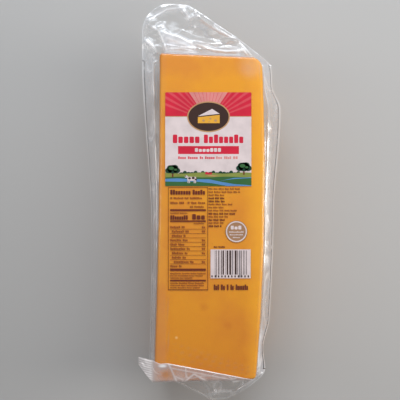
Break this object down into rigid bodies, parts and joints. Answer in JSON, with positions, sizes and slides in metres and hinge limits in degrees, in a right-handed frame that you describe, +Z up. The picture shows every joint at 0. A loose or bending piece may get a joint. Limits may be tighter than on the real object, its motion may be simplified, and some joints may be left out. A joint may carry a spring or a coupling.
{
  "type": "block of cheddar in a clear film pouch",
  "caption": "Long loaf of orange cheddar cheese sealed in a clear film pouch, with side fins, a film ear at each end and a folded seal flap, lying on its underside",
  "frame": {"origin": "on the underside, midway between the loaf's sides and between its end faces", "axes": "+Y along the loaf to the head end, where the longer film ear is, +X to the side with the wider bow, +Z up from the underside to the printed face"},
  "size_m": [0.1246, 0.3564, 0.0885],
  "materials": {
    "cheese": "smooth, slightly waxy orange cheddar with faint mottling",
    "film": "clear creased packaging film with a gloss",
    "label": "printed ink on the film, fields of white, red, green and blue",
    "print": "dark brown printed ink on the film"
  },
  "bodies": {
    "root": {"cheese": "cheese", "pouch": "film"}
  },
  "joints": []
}
